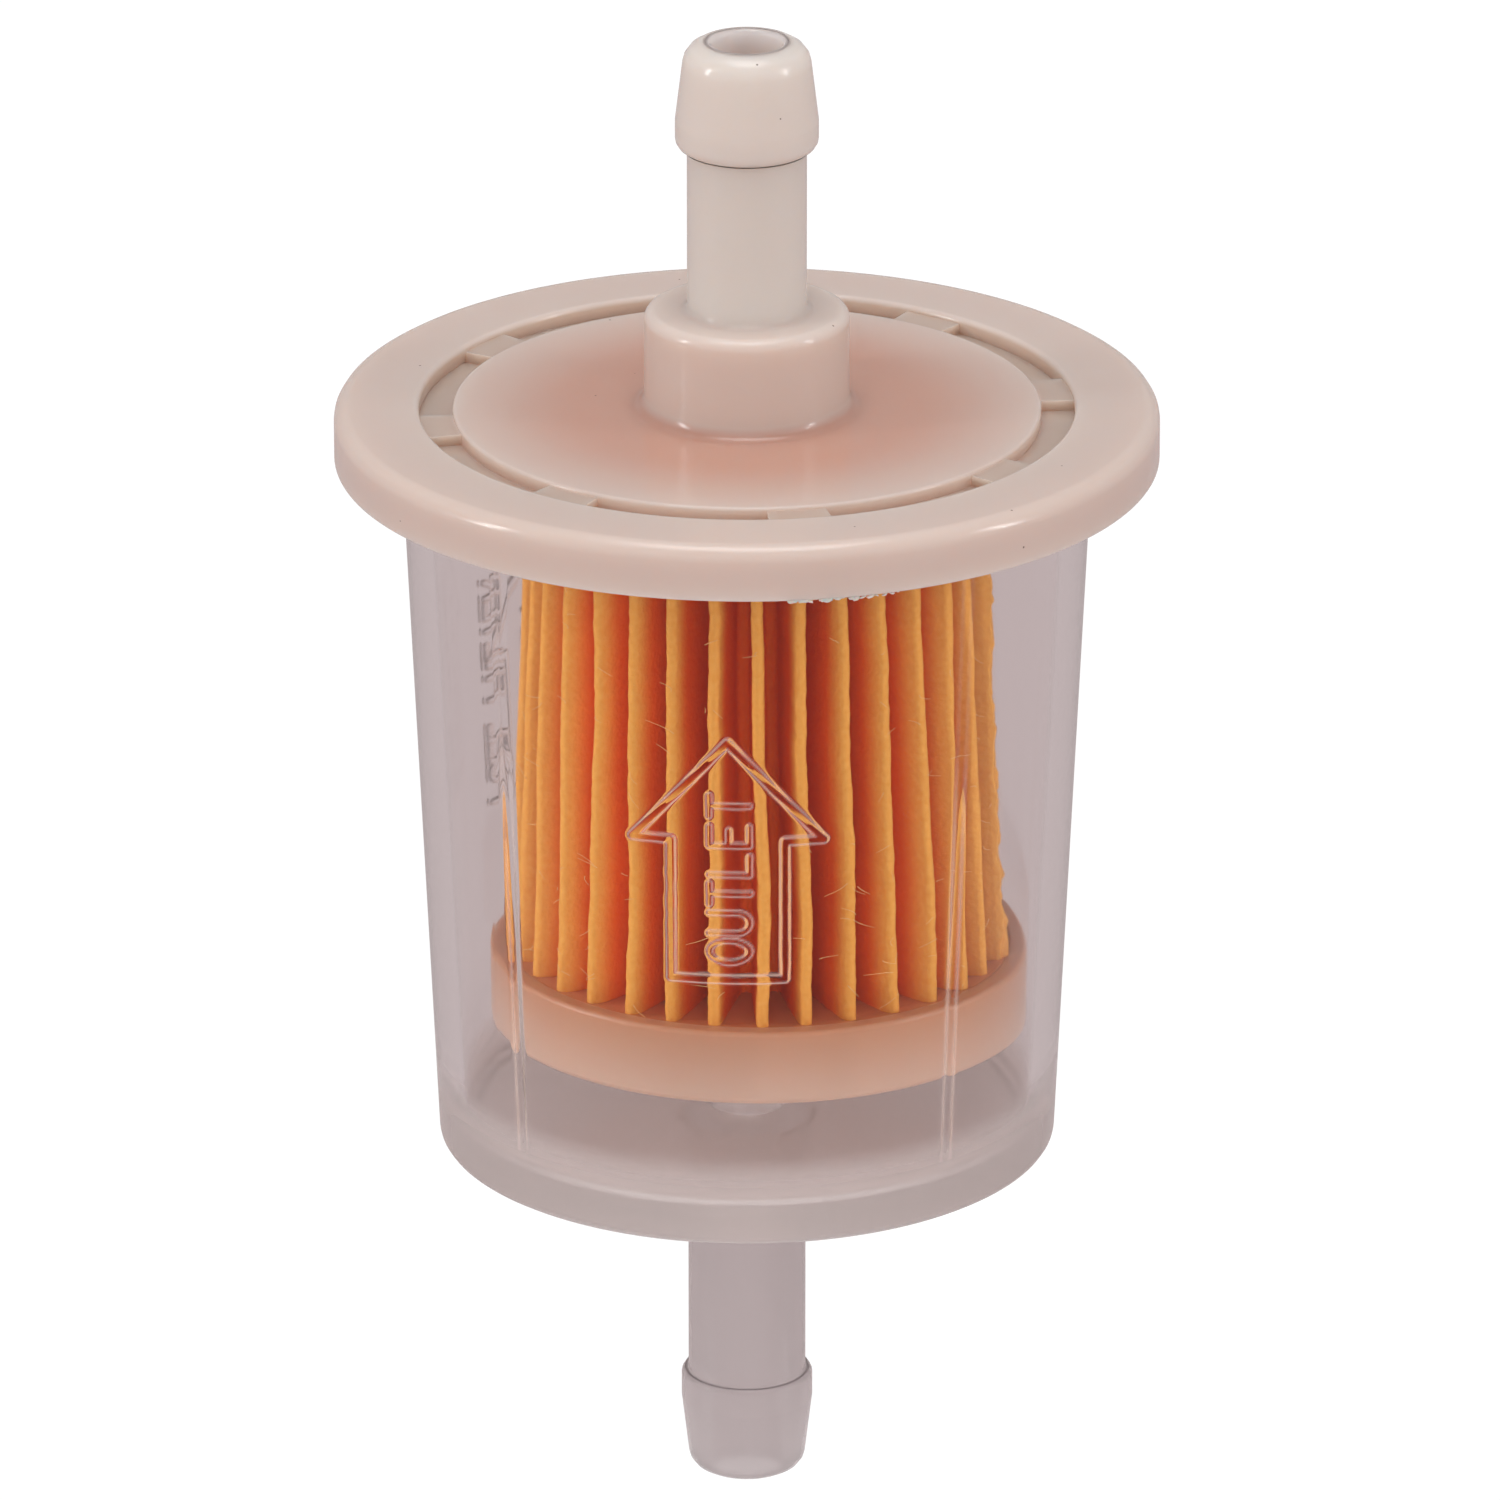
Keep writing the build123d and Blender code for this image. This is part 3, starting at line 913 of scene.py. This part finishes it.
# %% [markdown]
# ## Clear nylon
#
# Clear nylon is almost colourless, with the IOR of 1.5 that most clear plastics have. The
# wall is polished, so it is nearly as smooth as glass. The base and the spigot are thick
# and cooled slowly, which clouds them: less light goes straight through, and the
# surface is rougher. Where the frost attribute is high, on the shoulders of the raised
# lines, the surface scatters a little warm light, so the lines show as pale threads.
# Light on its way to a lamp passes straight through, since bent light from small lamps
# would need far more samples, and the paper inside would look too dark.

# %% Clear nylon of the bowl
def clear_nylon():
    material, tree, output = new_material("clear nylon, moulded")
    place = add(tree, "ShaderNodeTexCoord").outputs["Object"]
    height = add(tree, "ShaderNodeSeparateXYZ", {0: place}).outputs[2]
    thick = add(
        tree, "ShaderNodeMapRange",
        {0: height, 1: 26.0 * MM, 2: 23.4 * MM, 3: 0.0, 4: 1.0},
        interpolation_type="SMOOTHSTEP",
    ).outputs[0]
    frost = add(tree, "ShaderNodeAttribute", attribute_name="frost").outputs["Fac"]
    cut = add(tree, "ShaderNodeMapRange", {0: frost, 1: 0.0, 2: 1.0, 3: 1.0, 4: 0.45}).outputs[0]
    haze = add(tree, "ShaderNodeMapRange", {0: thick, 1: 0.0, 2: 1.0, 3: 1.0, 4: 0.62}).outputs[0]
    clearness = add(tree, "ShaderNodeMath", {0: cut, 1: haze}, operation="MULTIPLY").outputs[0]
    roughness = add(
        tree, "ShaderNodeMapRange", {0: thick, 1: 0.0, 2: 1.0, 3: 0.04, 4: 0.22}
    ).outputs[0]
    tint = add(
        tree, "ShaderNodeMix",
        {0: frost, 6: linear("#faf7f7"), 7: linear("#ffdfc8")},
        data_type="RGBA",
    )
    spigot = add(
        tree, "ShaderNodeMapRange", {0: height, 1: 21.2 * MM, 2: 20.2 * MM, 3: 0.0, 4: 1.0}
    )
    base = add(
        tree, "ShaderNodeMix",
        {0: spigot.outputs[0], 6: linear("#e4dad7"), 7: linear("#d3caca")},
        data_type="RGBA",
    )
    cloudy = add(
        tree, "ShaderNodeMix", {0: thick, 6: tint.outputs[2], 7: base.outputs[2]}, data_type="RGBA"
    )
    glass = add(
        tree, "ShaderNodeBsdfPrincipled",
        {
            "Base Color": cloudy.outputs[2],
            "Roughness": roughness,
            "IOR": 1.5,
            "Specular Tint": (0.35, 0.35, 0.35, 1.0),
            "Transmission Weight": clearness,
        },
    )
    clear = add(tree, "ShaderNodeBsdfTransparent", {"Color": linear("#ffffff")})
    light_path = add(tree, "ShaderNodeLightPath")
    mixed = add(
        tree, "ShaderNodeMixShader",
        {0: light_path.outputs["Is Shadow Ray"], 1: glass.outputs[0], 2: clear.outputs[0]},
    )
    tree.links.new(mixed.outputs[0], output.inputs["Surface"])
    return material


dress(bowl, clear_nylon())


# %% [markdown]
# ## Filter paper
#
# Filter paper is a felt of fibres, dipped in a phenolic-type resin that turns it orange.
# The crests are painted paler and yellower and the folds a deeper orange-red, and the
# fold attribute mixes the two: partly the resin's own colour, and partly painted light
# on the crests and painted shade in the folds. Speckle and bump of 0.3 mm stand for the
# fibres: real ones are finer, but would not show at this distance.

# %% Filter paper
def filter_paper():
    material, tree, output = new_material("resin-soaked filter paper")
    place = add(tree, "ShaderNodeTexCoord").outputs["Object"]
    fold = add(tree, "ShaderNodeAttribute", attribute_name="fold").outputs["Fac"]
    near_ridge = add(
        tree, "ShaderNodeMapRange", {0: fold, 1: 0.55, 2: 0.97, 3: 0.0, 4: 1.0},
        interpolation_type="SMOOTHSTEP",
    )
    speckle = add(
        tree, "ShaderNodeTexNoise", {"Vector": place, "Scale": per_mm(0.3), "Detail": 5.0}
    )
    # flank colour: deep orange-red, partly the resin and partly painted shade in the folds
    flank = add(
        tree, "ShaderNodeMix",
        {0: speckle.outputs["Fac"], 6: linear("#f0641c"), 7: linear("#f6772a")},
        data_type="RGBA",
    )
    # crest colour: pale yellow, partly the resin and partly painted light on the ridges
    crest = add(
        tree, "ShaderNodeMix",
        {0: speckle.outputs["Fac"], 6: linear("#ee9f42"), 7: linear("#fbbb60")},
        data_type="RGBA",
    )
    colour = add(
        tree, "ShaderNodeMix",
        {0: near_ridge.outputs[0], 6: flank.outputs[2], 7: crest.outputs[2]},
        data_type="RGBA",
    )
    relief = add(
        tree, "ShaderNodeBump",
        {"Height": speckle.outputs["Fac"], "Strength": 0.8, "Distance": 0.1 * MM},
    )
    surface = add(
        tree, "ShaderNodeBsdfPrincipled",
        {
            "Base Color": colour.outputs[2],
            "Roughness": 0.8,
            "Specular IOR Level": 0.15,
            "Normal": relief.outputs[0],
        },
    )
    tree.links.new(surface.outputs[0], output.inputs["Surface"])
    return material


dress(paper, filter_paper())


# %% [markdown]
# ## Fibre and flash
#
# A single fibre and a sliver of flash are too small to show a pattern of their own. Both
# get one pale colour with a slight unevenness: the fibre is matt, and the flash is thin
# enough to glow when light falls on it.

# %% Loose fibre and flash
def plain_material(name, code, roughness, subsurface):
    """A pale material for something tiny, with a little unevenness in its colour."""
    material, tree, output = new_material(name)
    place = add(tree, "ShaderNodeTexCoord").outputs["Object"]
    speckle = add(
        tree, "ShaderNodeTexNoise", {"Vector": place, "Scale": per_mm(0.6), "Detail": 3.0}
    )
    darker = [value * 0.8 for value in linear(code)[:3]] + [1.0]
    colour = add(
        tree, "ShaderNodeMix",
        {0: speckle.outputs["Fac"], 6: darker, 7: linear(code)},
        data_type="RGBA",
    )
    surface = add(
        tree, "ShaderNodeBsdfPrincipled",
        {
            "Base Color": colour.outputs[2],
            "Roughness": roughness,
            "Subsurface Weight": subsurface,
            "Subsurface Scale": 0.5 * MM,
        },
    )
    tree.links.new(surface.outputs[0], output.inputs["Surface"])
    return material


dress(hairs, plain_material("loose paper fibre", "#ffd08a", 0.8, 0.0))
dress(flash, plain_material("thin nylon flash", "#f6e9e0", 0.3, 0.5))


# %% [markdown]
# ## Cup and resin
#
# The cup is the same nylon as the cap, but thin, with amber resin inside. Its colour
# follows the height: warmer and darker near its rim, paler at its base. The resin is cured,
# hard and glossy, with a higher IOR than nylon, which gives it a wet look. The glue line
# in the paper's seam is the same resin, and the weld bead is the cap's own nylon.

# %% Cup and resin
def cup_nylon():
    material, tree, output = new_material("translucent nylon over resin")
    place = add(tree, "ShaderNodeTexCoord").outputs["Object"]
    height = add(tree, "ShaderNodeSeparateXYZ", {0: place}).outputs[2]
    up = add(
        tree, "ShaderNodeMapRange",
        {0: height, 1: (cup_base_z + 0.5) * MM, 2: cup_rim_z * MM, 3: 0.0, 4: 1.0},
    )
    colour = add(
        tree, "ShaderNodeMix",
        {0: up.outputs[0], 6: linear("#cbaa97"), 7: linear("#c08a69")},
        data_type="RGBA",
    )
    surface = add(
        tree, "ShaderNodeBsdfPrincipled",
        {
            "Base Color": colour.outputs[2],
            "Roughness": 0.35,
            "IOR": 1.53,
            "Subsurface Weight": 0.4,
            "Subsurface Radius": (1.0, 0.6, 0.4),
            "Subsurface Scale": 1.2 * MM,
        },
    )
    tree.links.new(surface.outputs[0], output.inputs["Surface"])
    return material


def resin():
    material, tree, output = new_material("cured amber resin")
    surface = add(
        tree, "ShaderNodeBsdfPrincipled",
        {"Base Color": linear("#d08f68"), "Roughness": 0.2, "IOR": 1.55},
    )
    tree.links.new(surface.outputs[0], output.inputs["Surface"])
    return material


dress(cup, cup_nylon())
cured = resin()
for piece in (potting, top_bond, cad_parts["pleat_seam_bond"]):
    dress(piece, cured)
dress(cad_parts["spin_weld_bead"], cap_nylon)

# %% [markdown]
# ## Stage
#
# The filter stands on plain white card. Something clear shows whatever lies behind it, and
# over white card the bowl would all but vanish. A studio puts a grey-lilac board behind
# it and cuts the background out later. The same is done here with the Light Path node:
# the card glows white to the camera, and grey-lilac to light that has been through or off
# the filter. A small white pool in front lights the cup and the paper's foot from below.
# The card can't be seen from underneath, so a camera down there still sees the filter.

# %% Floor and surround
floor_half, pool_reach, pool_core = 3.0, 0.05, 0.02
floor_mesh = bmesh.new()
bmesh.ops.create_grid(floor_mesh, x_segments=1, y_segments=1, size=floor_half)
floor_data = bpy.data.meshes.new("floor")
floor_mesh.to_mesh(floor_data)
floor_mesh.free()
floor = bpy.data.objects.new("floor", floor_data)
bpy.context.scene.collection.objects.link(floor)

floor_material, floor_tree, floor_output = new_material("white card")
seen = add(floor_tree, "ShaderNodeLightPath").outputs["Is Camera Ray"]
floor_place = add(floor_tree, "ShaderNodeTexCoord").outputs["Object"]
from_pool = add(
    floor_tree, "ShaderNodeVectorMath", {0: floor_place, 1: (0, -0.035, 0)}, operation="DISTANCE"
).outputs["Value"]
pool = add(
    floor_tree, "ShaderNodeMapRange",
    {0: from_pool, 1: pool_reach, 2: pool_core, 3: 0.0, 4: 1.0},
    interpolation_type="SMOOTHSTEP",
).outputs[0]
lilac = add(
    floor_tree, "ShaderNodeMix",
    {0: pool, 6: linear("#bdb0b0"), 7: linear("#ffffff")},
    data_type="RGBA",
)
glow = add(
    floor_tree, "ShaderNodeMix",
    {0: seen, 6: lilac.outputs[2], 7: linear("#ffffff")},
    data_type="RGBA",
)
card = add(
    floor_tree, "ShaderNodeBsdfPrincipled",
    {
        "Base Color": linear("#404040"),
        "Roughness": 0.9,
        "Specular IOR Level": 0.0,
        "Emission Color": glow.outputs[2],
        "Emission Strength": 1.0,
    },
)
from_below = add(floor_tree, "ShaderNodeNewGeometry").outputs["Backfacing"]
nothing = add(floor_tree, "ShaderNodeBsdfTransparent", {"Color": linear("#ffffff")})
one_sided = add(
    floor_tree, "ShaderNodeMixShader", {0: from_below, 1: card.outputs[0], 2: nothing.outputs[0]}
)
floor_tree.links.new(one_sided.outputs[0], floor_output.inputs["Surface"])
dress(floor, floor_material)

world = bpy.data.worlds.new("studio")
world.use_nodes = True
surround = world.node_tree.nodes["Background"]
surround.inputs["Color"].default_value = linear("#f4eeee")
surround.inputs["Strength"].default_value = 0.45
bpy.context.scene.world = world
bpy.context.scene.view_settings.view_transform = "Standard"

# %% [markdown]
# ## Lamps
#
# Two narrow upright softboxes draw the thin bright lines down the sides of the bowl, and a
# broad one overhead lights the cap. The fill in front lights the paper through the wall. It
# is hidden from reflections, because it would show as a white square in the bowl.

# %% Lamps
def softbox(name, place, target, width, height, power):
    """A rectangular lamp that faces a target."""
    data = bpy.data.lights.new(name, "AREA")
    data.shape = "RECTANGLE"
    data.size, data.size_y = width, height
    data.energy = power
    lamp = bpy.data.objects.new(name, data)
    lamp.location = place
    lamp.rotation_euler = (Vector(target) - Vector(place)).to_track_quat("-Z", "Y").to_euler()
    bpy.context.scene.collection.objects.link(lamp)
    print(f"{name}: {power} W")
    return lamp


middle = (0, 0, 0.05)
softbox("left softbox", (-0.62, -0.2, 0.3), middle, 0.07, 0.3, 0.9)
softbox("right softbox", (0.62, -0.13, 0.3), middle, 0.07, 0.3, 0.7)
softbox("top softbox", (0, -0.05, 0.7), middle, 0.4, 0.4, 1.75)
fill = softbox("front fill", (0, -0.7, 0.14), middle, 0.5, 0.4, 1.25)
fill.visible_glossy = False

# %% [markdown]
# ## Camera
#
# A long lens from nearly a metre away looks down at 21.5 degrees, so the flange's top shows
# and its sides hardly taper. A short lens up close would frame the same, but would make
# the flange look much wider than the bowl.

# %% Camera
CAMERA_DISTANCE = 0.850
CAMERA_RISE = math.radians(21.5)
CAMERA_TURN = math.radians(3.3)
AIM_HEIGHT = 0.04335
AIM_RIGHT = 0.00017

camera_data = bpy.data.cameras.new("camera")
camera_data.lens = 366.4
camera_data.sensor_width = 36
camera_data.clip_start = 0.01
camera = bpy.data.objects.new("camera", camera_data)
right = Vector((math.cos(CAMERA_TURN), math.sin(CAMERA_TURN), 0))
back = Vector((math.sin(CAMERA_TURN), -math.cos(CAMERA_TURN), 0))
aim = AXIS * AIM_HEIGHT + right * AIM_RIGHT
away = back * math.cos(CAMERA_RISE) + AXIS * math.sin(CAMERA_RISE)
camera.location = aim + away * CAMERA_DISTANCE
camera.rotation_euler = (-away).to_track_quat("-Z", "Y").to_euler()
bpy.context.scene.collection.objects.link(camera)
bpy.context.scene.camera = camera
print(f"camera {CAMERA_DISTANCE * 1000:.0f} mm away, lens {camera_data.lens:.1f} mm")
